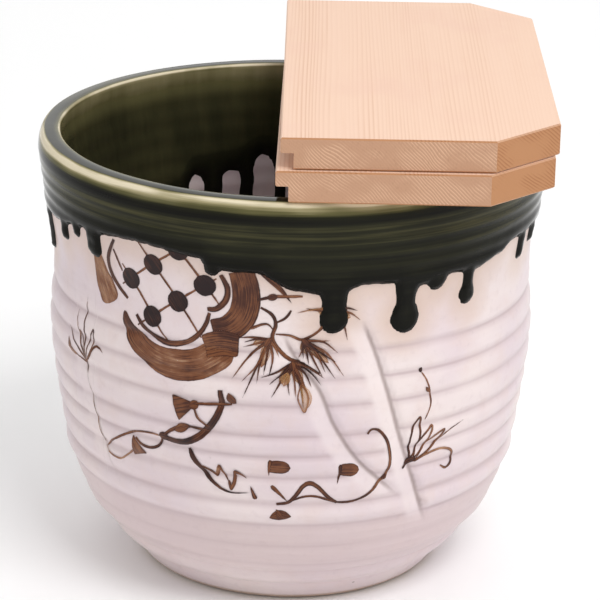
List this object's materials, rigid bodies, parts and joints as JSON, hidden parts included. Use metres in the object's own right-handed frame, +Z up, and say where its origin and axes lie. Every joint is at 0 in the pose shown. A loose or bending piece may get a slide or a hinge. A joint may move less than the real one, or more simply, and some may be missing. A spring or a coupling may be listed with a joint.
{
  "type": "fresh water jar",
  "caption": "Wide-mouthed stoneware fresh water jar with a running green glaze collar and a flat wooden lid split into two loose rebated boards.",
  "frame": {"origin": "middle of the flat base, on the surface the jar stands on", "axes": "+Z up, -Y towards the front of the picture, +X to its right; the joint between the two lid boards runs along Y"},
  "size_m": [0.2259, 0.2321, 0.2268],
  "materials": {
    "white_stoneware": "glossy white glaze with a faint pink cast over throwing rings",
    "green_glaze": "dark copper-green gloss that thins and pales at the rim and runs down in drips",
    "lid_wood": "planed pale straight-grained softwood, bare"
  },
  "bodies": {
    "jar": {"jar_body": "white_stoneware", "green_glaze": "green_glaze"},
    "lid_lower": {"lid_half_lower": "lid_wood"},
    "lid_upper": {"lid_half_upper": "lid_wood"}
  },
  "joints": [
    {"name": "lid_lift", "type": "slide", "parent": "jar", "child": "lid_lower", "axis": [0, 0, 1], "range_m": [0, 0.06]},
    {"name": "lid_turn_over", "type": "hinge", "parent": "lid_lower", "child": "lid_upper", "pos_m": [-0.00298, 0.00385, 0.2133], "axis": [0.0042, -1, 0], "range_deg": [0, 180]}
  ]
}
